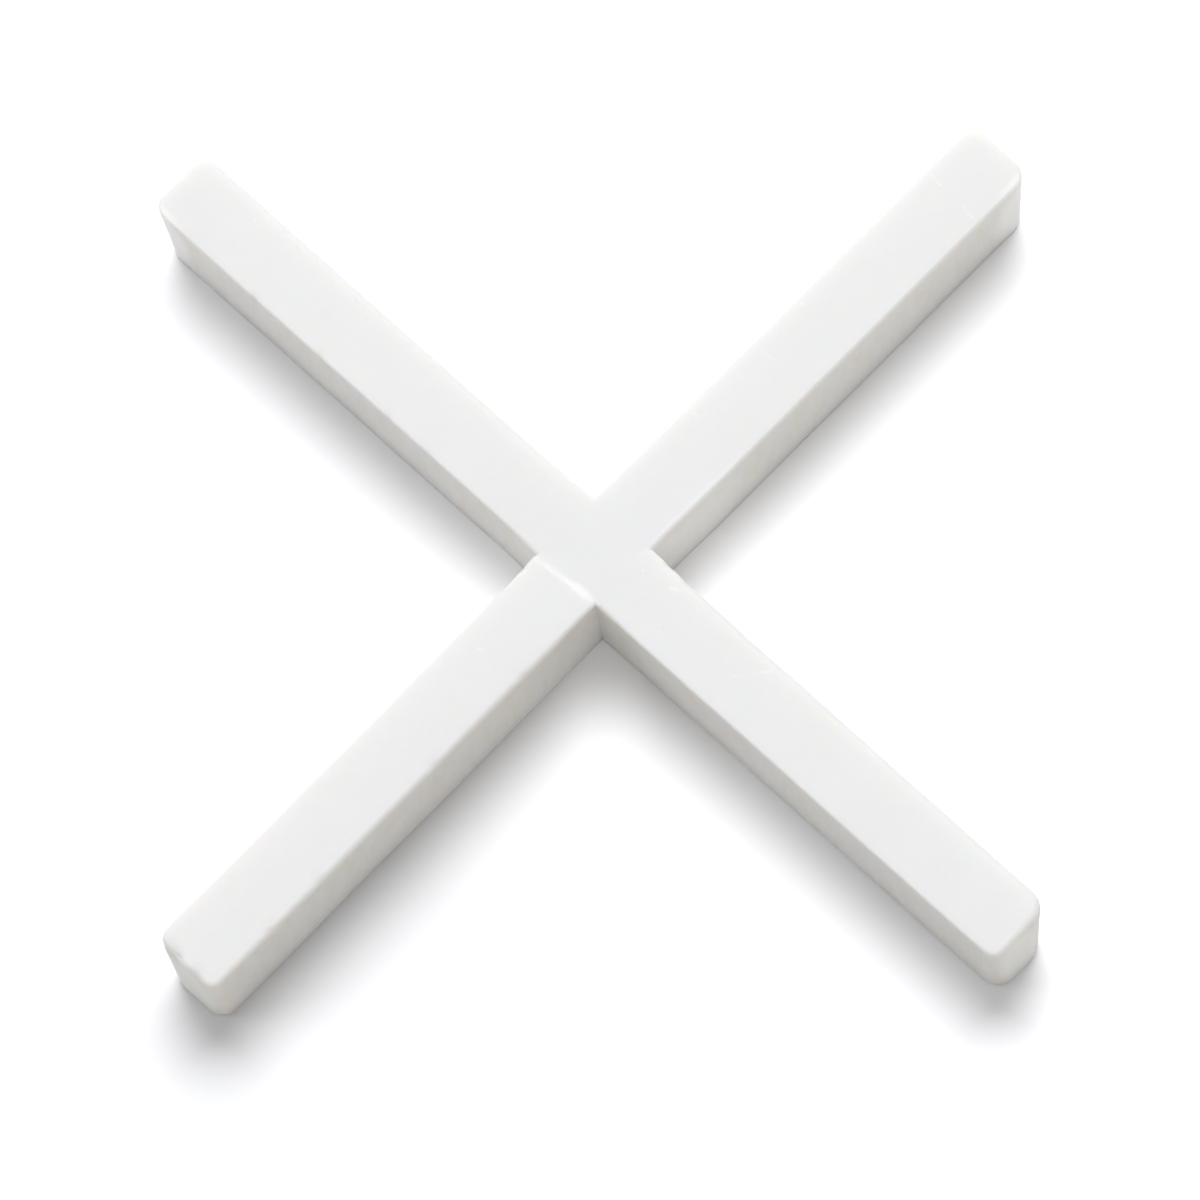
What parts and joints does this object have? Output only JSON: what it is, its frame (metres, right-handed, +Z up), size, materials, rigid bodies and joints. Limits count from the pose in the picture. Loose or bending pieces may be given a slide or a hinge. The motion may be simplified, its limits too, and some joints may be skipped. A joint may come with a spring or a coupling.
{
  "type": "tile spacer",
  "caption": "Cross-shaped tile spacer of white moulded plastic, which holds an even joint between the corners of tiles while they set.",
  "frame": {"origin": "centre of the cross on the face that it lies on", "axes": "+Z up through the thickness; +X and +Y along the arms"},
  "size_m": [0.03, 0.03, 0.0029],
  "materials": {
    "plastic": "satin"
  },
  "bodies": {
    "root": {"spacer": "plastic"}
  },
  "joints": []
}
